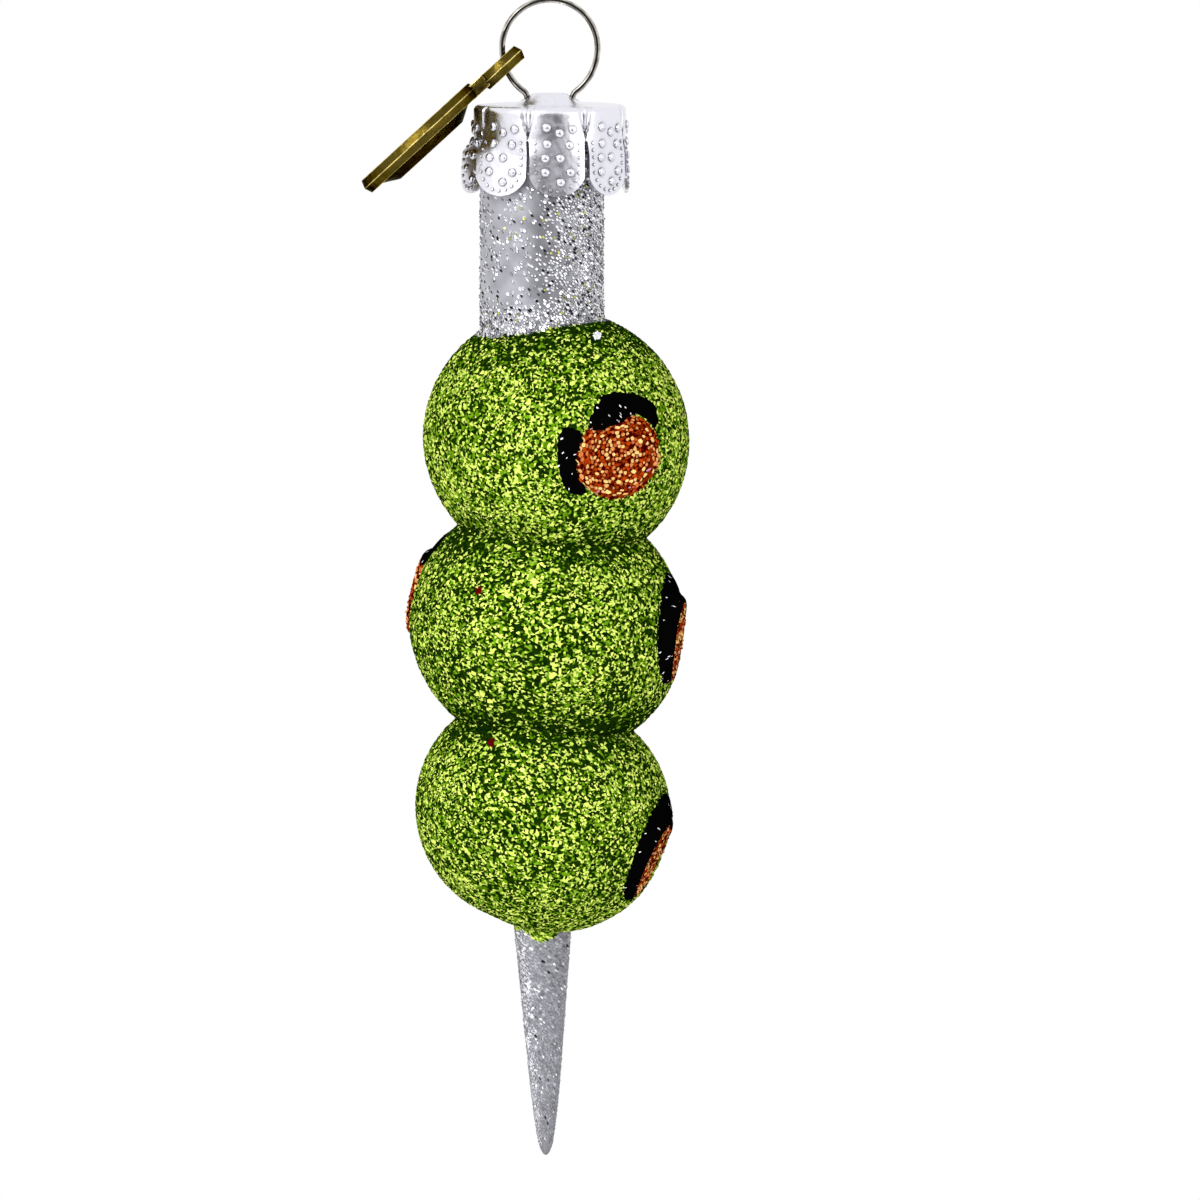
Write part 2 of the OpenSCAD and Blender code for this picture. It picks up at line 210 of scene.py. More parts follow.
def flake_group():
    """Colours of a glitter coat: each flake's tone runs from the glue's colour over the body colour
    to the light colour, and tones of 2 and 3 are the two kinds of stray flake."""
    group, inside = start_group("flake_colours", ("Glue", "Body", "Light", "Stray", "Second Stray"))
    group.interface.new_socket("Roughness", in_out="OUTPUT", socket_type="NodeSocketFloat")
    tone = add_node(group, "ShaderNodeAttribute", {"attribute_name": "tone"}).outputs["Fac"]

    def blend(low, high, first, second):
        share = add_node(group, "ShaderNodeMapRange", values={"From Min": low, "From Max": high},
                         sources={"Value": tone})
        return mix_colours(group, share.outputs["Result"], first, second)

    colour = blend(0, 0.5, inside["Glue"], inside["Body"])
    colour = blend(0.5, 1, colour, inside["Light"])
    colour = blend(1.4, 1.6, colour, inside["Stray"])
    colour = blend(2.4, 2.6, colour, inside["Second Stray"])
    gloss = add_node(group, "ShaderNodeMapRange", values={"To Min": 0.55, "To Max": 0.16},
                     sources={"Value": tone})
    outside = group.nodes.new("NodeGroupOutput")
    group.links.new(colour, outside.inputs["Color"])
    group.links.new(gloss.outputs["Result"], outside.inputs["Roughness"])
    return group


flake_colours = flake_group()


def glitter_material(name, metallic, shine, edge, colours):
    """A glitter coat: metallic foil flakes in clear glue, with the colour that they take edge-on."""
    material, tree, shader = start_material(name, {
        "Metallic": metallic, "Specular IOR Level": shine, "Specular Tint": edge})
    flakes = add_node(tree, "ShaderNodeGroup", {"node_tree": flake_colours}, colours)
    tree.links.new(flakes.outputs["Color"], shader.inputs["Base Color"])
    tree.links.new(flakes.outputs["Roughness"], shader.inputs["Roughness"])
    return material


green_glitter = glitter_material("green_glitter", 0.15, 0, (0.10, 0.2, 0.02, 1), {
    "Glue": (0.0015, 0.013, 0.0005, 1),
    "Body": (0.15, 0.33, 0.006, 1),
    "Light": (0.86, 1.0, 0.19, 1),
    "Stray": (0.10, 0.002, 0.002, 1),
    "Second Stray": (0.85, 0.88, 0.92, 1),
})


def join_flakes(bm, rng, coarse, paired):
    """Joins small triangles into uneven flakes: a share of six-sided ones, and pairs between them."""
    spots = list(bm.verts)
    rng.shuffle(spots)
    taken = set()
    centres = []
    for spot in spots:
        if rng.random() < coarse and not spot.is_boundary and not taken.intersection(spot.link_faces):
            taken.update(spot.link_faces)
            centres.append(spot)
    edges = list(bm.edges)
    rng.shuffle(edges)
    inner = []
    for edge in edges:
        free = len(edge.link_faces) == 2 and not taken.intersection(edge.link_faces)
        if rng.random() < paired and free:
            taken.update(edge.link_faces)
            inner.append(edge)
    bmesh.ops.dissolve_edges(bm, edges=inner)
    bmesh.ops.dissolve_verts(bm, verts=centres)


def jitter(bm, rng, reach):
    """Moves every point a little, so that no two flakes are alike."""
    for spot in bm.verts:
        spot.co += Vector([rng.uniform(-1, 1) for axis in range(3)]) * reach


def ring_edges(parts):
    """The edges among the parts that an operator gives back."""
    return [part for part in parts if isinstance(part, bmesh.types.BMEdge)]


def cut_off(bm, height, above):
    """Cuts a shell flat at a height, takes away the part above or below it, and closes it."""
    cut = bmesh.ops.bisect_plane(bm, geom=bm.verts[:] + bm.edges[:] + bm.faces[:], dist=1e-7,
                                 plane_co=(0, 0, height), plane_no=(0, 0, 1),
                                 clear_outer=above, clear_inner=not above)
    bmesh.ops.edgeloop_fill(bm, edges=ring_edges(cut["geom_cut"]))


# The middle share of a bulb that is drawn out to its extra length
drawn_share = 0.6
# The bed of a pimento: how far the coat is sunk, how far inside the edge, and the depth it is sought in
bed_depth = 0.9 * mm
bed_margin = 0.1 * mm
bed_reach = 3 * mm
coat_jitter = 0.075 * mm
# Bright flakes come in patches. Towards a waist they grow fewer from this share of the radius on, as
# painted shade
patch_size = 4 * mm
patch_swing = 0.25
waist_shade_start = 0.5
waist_shade_strength = 1.6
# Shares of the flakes that are light, and that are light or middling, where the coat is lush
light_share = 0.35
bright_share = 0.72
light_tones, middling_tones, dark_tones = (0.75, 1), (0.25, 0.58), (0, 0.04)
olive_skins = {}


def coat_olive(name, olive, seed, cuts, specks, lush, node):
    """A glittered bulb, sunk under its pimentos and cut at heights where a neighbour hides what is
    above or below. Specks are single flakes (x, z, size, tone)."""
    rng = random.Random(seed)
    bm = bmesh.new()
    tone = bm.faces.layers.float.new("tone")
    ball = olive.radius - glue_depth
    bmesh.ops.create_icosphere(bm, subdivisions=7, radius=ball)
    for spot in bm.verts:
        turn = math.atan2(spot.co.y, spot.co.x)
        spot.co.z += olive.half_extra * max(-1, min(1, spot.co.z / (drawn_share * ball)))
        end = max(0, abs(spot.co.z) - olive.half_extra)
        around = math.sqrt(max(0, ball ** 2 - end ** 2))
        spot.co.x, spot.co.y = around * math.cos(turn), around * math.sin(turn)
    bm.transform(olive.frame(1))
    for spot in bm.verts:
        spot.co.x += olive.lean * max(0, olive.middle.z - spot.co.z)
    for side in (1, -1):
        face = face_frame(olive, side)
        back = face.inverted()
        for spot in bm.verts:
            local = back @ spot.co
            if local.z > -bed_reach and math.hypot(local.x, local.y) < pimento_radius - bed_margin:
                local.z = min(local.z, -bed_depth)
                spot.co = face @ local
    for height, above in cuts:
        cut_off(bm, height * mm, above)
    olive_skins[name] = BVHTree.FromBMesh(bm)
    jitter(bm, rng, coat_jitter)
    join_flakes(bm, rng, coarse=0.01, paired=0.3)
    for flake in bm.faces:
        place = flake.calc_center_median()
        waist = abs(place.z - olive.middle.z) / olive.radius
        patch = lush + patch_swing * noise.noise(place / patch_size)
        # Painted shade: fewer bright flakes towards each waist where a neighbour meets this bulb
        if any((place.z > olive.middle.z) == above for height, above in cuts):
            patch -= waist_shade_strength * max(0, waist - waist_shade_start)
        chance = rng.random()
        if chance < light_share * patch:
            flake[tone] = rng.uniform(*light_tones)
        elif chance < bright_share * patch:
            flake[tone] = rng.uniform(*middling_tones)
        else:
            flake[tone] = rng.uniform(*dark_tones)
    for x, z, size, kind in specks:
        for face in bm.faces:
            place = face.calc_center_median()
            if place.y < olive.middle.y and math.hypot(place.x - x * mm, place.z - z * mm) < size * mm:
                face[tone] = kind
    finish_piece(bm, name, [green_glitter], "glass", "green_glitter", node)


# The tones of stray flakes, as the material reads them
red_speck = 2
silver_speck = 3
coat_olive("upper_olive_coat", upper_olive, 11, [(-30.9, True), (-54.6, False)],
           [(4.7, -32.8, 0.4, silver_speck)], 0.78, "upper_olive_glitter")
coat_olive("middle_olive_coat", middle_olive, 12, [(-51.6, True), (-73.7, False)],
           [(-7.1, -57.9, 0.35, red_speck)], 0.64, "middle_olive_glitter")
coat_olive("lower_olive_coat", lower_olive, 13, [(-70.7, True)],
           [(-5.8, -73.2, 0.35, red_speck)], 0.66, "lower_olive_glitter")


# Silver glitter on the neck and the pick
# The neck and the spike are painted satin silver. Coarse silver flakes are strewn over the paint,
# thickly on one side of the neck and round its foot, and fine ones cover the whole pick.

silver_glitter = glitter_material("silver_glitter", 0.75, 0.4, (1, 1, 1, 1), {
    "Glue": (0.05, 0.05, 0.055, 1),
    "Body": (0.50, 0.50, 0.55, 1),
    "Light": (0.95, 0.95, 1.0, 1),
    "Stray": (0.012, 0.012, 0.014, 1),
    "Second Stray": (0.60, 0.60, 0.12, 1),
})


def scatter_flakes(bm, rng, rim, lift, tilt, wanted=None):
    """Turns fans of small triangles into separate flat flakes with a rim of glue, each tilted."""
    spots = list(bm.verts)
    rng.shuffle(spots)
    taken = set()
    centres = []
    for spot in spots:
        fan = spot.link_faces
        if spot.is_boundary or any(face in taken or len(face.verts) > 3 for face in fan):
            continue
        if wanted and not wanted(spot.co):
            continue
        taken.update(fan)
        centres.append(spot)
    bmesh.ops.dissolve_verts(bm, verts=centres)
    flakes = [face for face in bm.faces if 4 < len(face.verts) < 9]
    bmesh.ops.inset_individual(bm, faces=flakes, thickness=rim, depth=lift)
    for flake in flakes:
        normal = flake.normal.copy()
        centre = flake.calc_center_median()
        slope = Vector([rng.gauss(0, tilt) for axis in range(3)])
        size = rng.uniform(0.72, 1.1)
        for corner in flake.verts:
            arm = (corner.co - centre) * size
            corner.co = centre + arm + normal * slope.dot(arm)
    return flakes


def spin_wall(bm, axis_x, columns):
    """Spins the edges drawn so far once round a vertical axis, and cuts the wall into triangles."""
    bmesh.ops.spin(bm, geom=bm.verts[:] + bm.edges[:], cent=(axis_x, 0, 0), axis=(0, 0, 1),
                   angle=2 * math.pi, steps=columns, use_merge=True)
    bmesh.ops.remove_doubles(bm, verts=bm.verts[:], dist=1e-7)
    bmesh.ops.triangulate(bm, faces=bm.faces[:], quad_method="FIXED")
    bmesh.ops.recalc_face_normals(bm, faces=bm.faces[:])


def draw_line(bm, start, end, cuts):
    """An edge between two points (x, z), cut into equal steps."""
    edge = bm.edges.new([bm.verts.new((x, 0, z)) for x, z in (start, end)])
    bmesh.ops.subdivide_edges(bm, edges=[edge], cuts=cuts)


def settle(loose):
    """Lays a shell out anew with its faces in the order of their points. Spin and solidify give them
    back in an order that changes from run to run, and the draws of a coat go by that order."""
    loose.verts.index_update()
    rings = []
    for face in loose.faces:
        ring = [spot.index for spot in face.verts]
        first = ring.index(min(ring))
        rings.append(ring[first:] + ring[:first])
    bm = bmesh.new()
    fresh = [bm.verts.new(spot.co) for spot in loose.verts]
    for ring in sorted(rings):
        bm.faces.new([fresh[i] for i in ring])
    bm.normal_update()
    loose.free()
    return bm, bm.faces.layers.float.new("tone")


neck_radius = 6.15 * mm
neck_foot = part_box("neck_glitter")[0].z
neck_rows = 144
neck_columns = 248
# The ragged skirt of glitter that runs out over the upper olive
skirt_length = 0.55 * mm
skirt_swing = 0.35 * mm
skirt_height = 0.12 * mm
# Middle and width, in degrees round the neck from the front, of the strewn side and of a band of
# painted shade
strewn_turn, strewn_width = 42, 46
shade_band_turn, shade_band_width = 8, 30
# Flakes also lie thickly up to this height above the foot
foot_band = 3.2 * mm
# Stray flakes of the neck: their tones, and the shares of dark ones and of both
dark_flake, yellow_flake = 2, 3
dark_share, stray_share = 0.11, 0.135
paint_tone = 0.44
shade_band_depth = 0.24
glue_tone = 0.06


def coat_neck():
    rng = random.Random(21)
    shell = bmesh.new()
    wall_x = neck_x + neck_radius
    draw_line(shell, (wall_x, neck_top), (wall_x, neck_foot), neck_rows)
    spin_wall(shell, neck_x, neck_columns)
    bm, tone = settle(shell)
    skin = olive_skins["upper_olive_coat"]

    def olive_top(x, y):
        return skin.ray_cast(Vector((x, y, neck_top)), Vector((0, 0, -1)))[0].z

    for spot in bm.verts:
        turn = math.atan2(spot.co.y, spot.co.x - neck_x)
        out = Vector((math.cos(turn), math.sin(turn), 0))
        meet = olive_top(*(Vector((neck_x, 0, 0)) + out * neck_radius).xy)
        ragged = noise.noise(out * 2.6) + 0.7 * noise.noise(out * 9)
        skirt = skirt_length + skirt_swing * ragged
        along = (neck_top - spot.co.z) / (neck_top - neck_foot) * (neck_top - meet + skirt)
        spread = max(0, along - (neck_top - meet))
        if spread > 0:
            place = Vector((neck_x, 0, 0)) + out * (neck_radius + spread)
            height = skirt_height * (1 - 1.6 * spread / skirt)
            spot.co = Vector((place.x, place.y, olive_top(place.x, place.y) + height))
        else:
            spot.co.z = neck_top - along
    jitter(bm, rng, 0.006 * mm)

    def turn_from_front(place):
        return math.degrees(math.atan2(place.x - neck_x, -place.y))

    def strewn(place):
        """Flakes lie thickly to the right and round the foot, and thinly elsewhere."""
        side = max(0, 1 - abs(turn_from_front(place) - strewn_turn) / strewn_width)
        foot = max(0, 1 - (place.z - neck_foot) / foot_band)
        patch = 0.5 + 0.5 * noise.noise(place / (2.5 * mm))
        return rng.random() < 0.06 + 1.5 * side * patch + 0.9 * foot

    flakes = scatter_flakes(bm, rng, rim=0.02 * mm, lift=0.05 * mm, tilt=0.3, wanted=strewn)
    for face in bm.faces:
        face.smooth = True
        place = face.calc_center_median()
        # Painted shade: the paint's tone is lowered in a band down the front of the neck
        shade_band = math.exp(-((turn_from_front(place) - shade_band_turn) / shade_band_width) ** 2)
        mottled = 0.10 * noise.noise(place / (3 * mm)) + 0.09 * noise.noise(place / (1.1 * mm))
        face[tone] = paint_tone + mottled - shade_band_depth * shade_band
    for flake in flakes:
        flake.smooth = False
        flake[tone] = rng.choice((0.8, 1, 1, 1))
        chance = rng.random()
        if chance < dark_share:
            flake[tone] = dark_flake
        elif chance < stray_share:
            flake[tone] = yellow_flake
        for wall in {wall for edge in flake.edges for wall in edge.link_faces if wall != flake}:
            wall.smooth = False
            wall[tone] = glue_tone
    finish_piece(bm, "neck_coat", [silver_glitter], "glass", "silver_glitter", "neck_glitter")


coat_neck()

pick_x = -0.73 * mm
pick_tip_x = -0.44 * mm
pick_root_radius = 2.83 * mm
pick_taper = 0.0865
pick_root = -92.85 * mm
pick_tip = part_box("pick_glitter")[0].z
nose_length = 1.4 * mm
# The last stretch above the nose is drawn out finer than the rest
slim_length = 8 * mm
slim_depth = 0.36 * mm
# The root goes up into the lower olive, and the very tip is smooth
buried_root = 1.2 * mm
smooth_tip = 1.2 * mm
pick_rows = 150
pick_columns = 84
# Middle and width of a band of painted highlight down the pick's left side, in degrees round the pick
# from the front
highlight_turn, highlight_width = -52, 22


def coat_pick():
    rng = random.Random(22)
    shell = bmesh.new()
    draw_line(shell, (pick_root_radius, pick_root + buried_root), (pick_root_radius, pick_tip),
              pick_rows)
    for spot in shell.verts:
        nose = max(0, pick_tip + nose_length - spot.co.z) / nose_length
        slim = max(0, pick_tip + slim_length - spot.co.z) / slim_length
        straight = pick_root_radius - pick_taper * (pick_root - spot.co.z) - slim_depth * slim ** 2
        spot.co.x = straight * math.sqrt(max(0, 1 - nose ** 2))
    spin_wall(shell, 0, pick_columns)
    bm, tone = settle(shell)

    def axis_x(z):
        """The pick leans, so its middle drifts from the root to the tip."""
        return pick_x + (pick_tip_x - pick_x) * (pick_root - z) / (pick_root - pick_tip)

    for spot in bm.verts:
        spot.co.x += axis_x(spot.co.z)
    jitter(bm, rng, 0.02 * mm)
    bm.normal_update()
    flakes = scatter_flakes(bm, rng, rim=0.012 * mm, lift=0.015 * mm, tilt=0.22,
                            wanted=lambda place: place.z > pick_tip + smooth_tip)
    for face in bm.faces:
        face[tone] = rng.uniform(0.2, 0.34)
    for flake in flakes:
        place = flake.calc_center_median()
        turn = math.degrees(math.atan2(place.x - axis_x(place.z), -place.y))
        # Painted highlight: flakes take lighter tones in a band down the left side of the pick
        left = max(0, 1.5 - abs(turn - highlight_turn) / highlight_width)
        painted_highlight = 0.55 * min(1, max(0, left * (0.8 + noise.noise(place / (0.9 * mm)))))
        flake[tone] = min(1, max(0.2, rng.gauss(0.31, 0.1) + painted_highlight))
        chance = rng.random()
        if chance < 0.008:
            flake[tone] = dark_flake
        elif chance < 0.03:
            flake[tone] = 1
    # Green glitter from the olive runs a little way down the front of the root
    for face in bm.faces:
        place = face.calc_center_median()
        middle = max(0, 1 - ((place.x - pick_x) / (1.9 * mm)) ** 2) if place.y < 0 else 0
        drip = 1.15 * middle + 0.35 * noise.noise(place / (0.7 * mm)) - 0.15
        if place.z > pick_root - drip * mm:
            face.material_index = 1
            face[tone] = rng.choice((0.05, 0.15, 0.5, 0.8, 1))
    finish_piece(bm, "pick_coat", [silver_glitter, green_glitter], "glass", "silver_glitter",
                 "pick_glitter")


coat_pick()


# Pimentos
# A round spot at the end of each olive is brushed with glue and dusted with coarse orange glitter.
# It lies in a bare place of the green coat, slightly domed, with an edge drawn by hand.

pimento_glitter = glitter_material("pimento_glitter", 0.1, 0, (0.3, 0.03, 0.01, 1), {
    "Glue": (0.05, 0.0004, 0.0003, 1),
    "Body": (0.50, 0.053, 0.003, 1),
    "Light": (1.0, 0.62, 0.21, 1),
    "Stray": (0.85, 0.35, 0.55, 1),
})
pimento_depth = 1.2 * mm
pimento_dome = 0.12 * mm
pimento_edge = 0.3 * mm
# The face falls off to its edge from this share of its radius on
edge_start = 0.88
pink_flake = 2


def pimento_level(share):
    """Height of a pimento's face at a share of its radius."""
    edge = max(0, (share - edge_start) / (1 - edge_start))
    return -pimento_dome * share ** 2 - pimento_edge * edge ** 2


def set_pimento(name, olive, side, seed, widen, node):
    """A pimento on one side of an olive, widened a little to its right."""
    rng = random.Random(seed)
    bm = bmesh.new()
    tone = bm.faces.layers.float.new("tone")
    bmesh.ops.create_icosphere(bm, subdivisions=5, radius=1)
    for spot in bm.verts:
        share = math.sqrt(max(0, 1 - abs(spot.co.z)))
        turn = math.atan2(spot.co.y, spot.co.x)
        out = Vector((math.cos(turn), math.sin(turn), 0))
        wobble = 1.02 + 0.04 * noise.noise(out * 1.7 + Vector((0, 0, seed)))
        level = pimento_level(share) if spot.co.z > -0.001 else -pimento_depth
        spot.co = out * share * pimento_radius * wobble
        spot.co.x = spot.co.x * widen + (widen - 1) * 1.5 * mm
        spot.co.z = level
    bm.transform(face_frame(olive, side))
    bmesh.ops.recalc_face_normals(bm, faces=bm.faces[:])
    jitter(bm, rng, 0.04 * mm)
    bm.normal_update()
    flakes = scatter_flakes(bm, rng, rim=0.03 * mm, lift=0.04 * mm, tilt=0.28)
    for face in bm.faces:
        face[tone] = rng.choice((0, 0, 0, 0.2, 0.45))
    for flake in flakes:
        flake[tone] = rng.choice((0, 0.15, 0.35, 0.5, 0.6, 0.7, 0.85, 1, 1, 1))
        if rng.random() < 0.01:
            flake[tone] = pink_flake
    finish_piece(bm, name, [pimento_glitter], "glass", "pimento_glitter", node)


# Level, end, olive and side of each pimento, and how much it is widened
pimento_places = [
    ("upper", "front", upper_olive, 1, 1.13), ("upper", "back", upper_olive, -1, 1.05),
    ("middle", "right", middle_olive, 1, 1), ("middle", "left", middle_olive, -1, 1),
    ("lower", "right", lower_olive, 1, 1), ("lower", "left", lower_olive, -1, 1)]
for i, (level, end, olive, side, widen) in enumerate(pimento_places):
    set_pimento(f"{level}_{end}_pimento", olive, side, 31 + i, widen, f"{level}_pimento_{end}")


# Black strokes round the pimentos
# Two fat strokes of black paint show the pit's hole above and to the left of each pimento.
# They stand up from the coat like beads of enamel, with a few silver flakes caught in them.

black_paint = glitter_material("black_paint", 0, 0, (1, 1, 1, 1), {
    "Glue": (0.0012, 0.0012, 0.0014, 1),
    "Body": (0.05, 0.05, 0.055, 1),
    "Light": (0.95, 0.95, 0.97, 1),
})

# Each row of a stroke: direction on the face in degrees, then its inner and outer radius in mm
lobed_top = [(29, 5.1, 5.4), (34, 5.0, 6.3), (45, 4.9, 6.9), (57, 4.8, 6.7), (68, 4.5, 6.6),
             (76, 4.1, 6.3), (88, 3.4, 6.3), (100, 3.3, 6.1), (110, 3.3, 5.6), (122, 3.4, 4.9),
             (139, 4.1, 4.5)]
split_left = [(147, 4.7, 5.5), (153, 4.4, 6.2), (166, 4.3, 6.1), (185, 4.4, 6.0), (201, 4.3, 6.0),
              (216, 4.4, 5.9), (229, 4.7, 5.3)]
joined_top = [(26, 4.4, 5.2), (38, 4.1, 6.4), (60, 3.9, 6.8), (90, 3.8, 6.6), (120, 3.8, 6.0),
              (146, 3.8, 5.5), (154, 4.1, 5.4)]
high_top = [(46, 4.4, 5.6), (56, 4.1, 6.9), (72, 4.0, 7.2), (100, 3.9, 6.8), (128, 3.8, 6.0),
            (146, 3.8, 5.5), (154, 4.1, 5.4)]
joined_left = [(142, 4.1, 5.4), (150, 3.8, 5.4), (180, 3.7, 5.1), (215, 3.8, 5.1), (240, 4.0, 5.0),
               (248, 4.2, 4.7)]


def ease(share):
    """A smooth step from 0 to 1."""
    return share * share * (3 - 2 * share)


def row_between(rows, direction):
    """Inner and outer radius of a stroke at a direction, eased from one row to the next."""
    for low, high in zip(rows, rows[1:]):
        if direction <= high[0] + 1e-6:
            share = ease((direction - low[0]) / (high[0] - low[0]))
            return [a + (b - a) * share for a, b in zip(low[1:], high[1:])]


stroke_bead = 0.3 * mm
stroke_depth = 0.6 * mm
stroke_sink = 0.06 * mm
# A stroke rises from the pimento's edge to the coat over this width, and rounds off over these degrees
lap_start = pimento_radius * 0.94
lap_width = 1.1 * mm
round_off = 15


def add_stroke(bm, olive, side, rows):
    """One bead of paint that lies on the coat and laps over the pimento's edge."""
    back = face_frame(olive, side).inverted()
    axis = olive.frame(1).to_3x3() @ Vector((0, 0, side))
    ball = back @ (olive.middle + axis * olive.half_extra)
    ball_radius = olive.radius - glue_depth
    first, last = rows[0][0], rows[-1][0]
    made = bmesh.ops.create_grid(bm, x_segments=round((last - first) * 0.6), y_segments=15, size=0.5)
    for spot in made["verts"]:
        direction = first + (last - first) * (spot.co.x + 0.5)
        inner, outer = row_between(rows, direction)
        across = spot.co.y + 0.5
        reach = (inner + (outer - inner) * across) * mm
        x = reach * math.cos(math.radians(direction))
        y = reach * math.sin(math.radians(direction))
        coat = ball.z + math.sqrt(ball_radius ** 2 - (x - ball.x) ** 2 - (y - ball.y) ** 2)
        lap = ease(min(1, max(0, (reach - lap_start) / lap_width)))
        ground = pimento_level(0.8) * (1 - lap) + coat * lap
        end = min(1, (0.5 - abs(spot.co.x)) * (last - first) / round_off)
        bead = math.sqrt(max(0, 1 - (2 * across - 1) ** 2)) * math.sqrt(max(0, end * (2 - end)))
        spot.co = Vector((x, y, ground - stroke_sink + stroke_bead * bead))
    spots = set(made["verts"])
    faces = [face for face in bm.faces if face.verts[0] in spots]
    bm.normal_update()
    if faces[0].normal.z < 0:
        bmesh.ops.reverse_faces(bm, faces=faces)
    bmesh.ops.solidify(bm, geom=faces, thickness=stroke_depth)


caught_share = 0.013


def paint_strokes(name, olive, side, seed, strokes, node):
    """The strokes of one pimento, with a small share of silver flakes caught in them."""
    rng = random.Random(seed)
    paint = bmesh.new()
    for rows in strokes:
        add_stroke(paint, olive, side, rows)
    bmesh.ops.recalc_face_normals(paint, faces=paint.faces[:])
    bmesh.ops.triangulate(paint, faces=paint.faces[:], quad_method="FIXED")
    paint.transform(face_frame(olive, side))
    bm, tone = settle(paint)
    flakes = scatter_flakes(bm, rng, rim=0.07 * mm, lift=0.03 * mm, tilt=0.1,
                            wanted=lambda place: rng.random() < caught_share)
    smooth_faces(bm)
    for flake in flakes:
        flake.smooth = False
        flake[tone] = 1
    finish_piece(bm, name, [black_paint], "glass", "black_paint", node)


split = (lobed_top, split_left)
joined = (joined_top, joined_left)
high = (high_top, joined_left)
stroke_pairs = [split, split, joined, high, joined, joined]
for i, ((level, end, olive, side, widen), pair) in enumerate(zip(pimento_places, stroke_pairs)):
    paint_strokes(f"{level}_{end}_strokes", olive, side, 41 + i, pair, f"{level}_strokes_{end}")


# Cap
# A cup stamped from thin bright metal, with a boss for the wire, a pleat above each slit,
# and eight petals with a row of fine beads along the edge and larger dots in the field.

petal_count = 8
petal_turn = math.radians(5.8)
petal_half_angle = math.pi / petal_count
cap_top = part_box("cap_crown")[1].z
cap_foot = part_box("cap_crown")[0].z
cap_radius = 7.6 * mm
cap_sheet = 0.3 * mm
boss_top_radius = 1.5 * mm
boss_foot_radius = 3.6 * mm
plate_z = cap_top - 1.15 * mm
shoulder = 0.6 * mm
slit_z = plate_z - 3.2 * mm
slit_half = 0.175 * mm
petal_round = cap_radius * math.sin(petal_half_angle) + slit_half
petal_flat_half = 0.3 * mm
wire_gap = 4.5 * mm
wire_hole = 0.55 * mm
pleat_half = 0.8 * mm
pleat_depth = 0.2 * mm
petal_columns = 26

cap_metal, tree, shader = start_material("cap_metal", {"Metallic": 1})
# Painted shade: the metal's colour turns dark in creases, round the dots and beads and in gaps, where
# less light falls
painted_crease_shade = add_node(tree, "ShaderNodeAmbientOcclusion", {"samples": 8},
                  {"Distance": 0.0005}).outputs["AO"]
unshaded_share = add_node(tree, "ShaderNodeMapRange", values={"From Min": 0.45, "From Max": 0.95},
                      sources={"Value": painted_crease_shade})
tin_and_crease_shade = mix_colours(tree, unshaded_share.outputs["Result"], (0.10, 0.098, 0.11, 1), (0.86, 0.855, 0.925, 1))
tree.links.new(tin_and_crease_shade, shader.inputs["Base Color"])
tree.links.new(cloudy(tree, 900, 0.2, 0.34), shader.inputs["Roughness"])
hammered = add_node(tree, "ShaderNodeBump", values={"Strength": 0.2, "Distance": 0.00006},
                    sources={"Height": cloudy(tree, 1400, 0, 1, 1)})
tree.links.new(hammered.outputs["Normal"], shader.inputs["Normal"])


def steps(start, end, count):
    """Evenly spaced values after start, up to and with end."""
    return [start + (end - start) * (i + 1) / count for i in range(count)]


def cap_rows():
    """Radius and height down the cap, from the middle of its boss to the ends of the petals."""
    boss_slope = (plate_z - cap_top) / (boss_foot_radius - boss_top_radius)
    plate_radius = cap_radius - shoulder
    rows = [(0, cap_top)]
    rows += [(r, cap_top) for r in steps(0, boss_top_radius, 5)]
    rows += [(r, cap_top + boss_slope * (r - boss_top_radius))
             for r in steps(boss_top_radius, boss_foot_radius, 9)]
    rows += [(r, plate_z) for r in steps(boss_foot_radius, plate_radius, 12)]
    rows += [(plate_radius + shoulder * math.sin(a), plate_z - shoulder + shoulder * math.cos(a))
             for a in steps(0, math.pi / 2, 7)]
    rows += [(cap_radius, z) for z in steps(plate_z - shoulder, slit_z, 16)]
    rows += [(cap_radius, z) for z in steps(slit_z, cap_foot, 32)]
    return rows


def petal_half_width(z):
    """Half of a petal's width at a height: straight sides, then a round end with a short flat."""
    straight = cap_radius * petal_half_angle - slit_half
    drop = cap_foot + petal_round - z
    if drop <= 0:
        return straight
    return min(straight, max(petal_flat_half, math.sqrt(max(0, petal_round ** 2 - drop ** 2))))


def pleat(edge, z):
    """How far the sheet is pressed in above a slit: two grooves with a ridge between them."""
    reach = pleat_half * min(1, max(0.06, (z - slit_z) / (plate_z - shoulder - slit_z)))
    share = edge / reach
    if share >= 1 or z <= slit_z:
        return 0
    return -pleat_depth * math.sin(math.pi * share) * min(1, (z - slit_z) / (0.4 * mm))


def repeat_petals(bm, parts):
    """Turns one petal's parts to their place and repeats them round the cap."""
    bmesh.ops.rotate(bm, verts=[part for part in parts if isinstance(part, bmesh.types.BMVert)],
                     cent=(0, 0, 0), matrix=Matrix.Rotation(petal_turn, 3, "Z"))
    bmesh.ops.spin(bm, geom=parts, cent=(0, 0, 0), axis=(0, 0, 1),
                   angle=2 * math.pi - 2 * petal_half_angle, steps=petal_count - 1, use_duplicate=True)


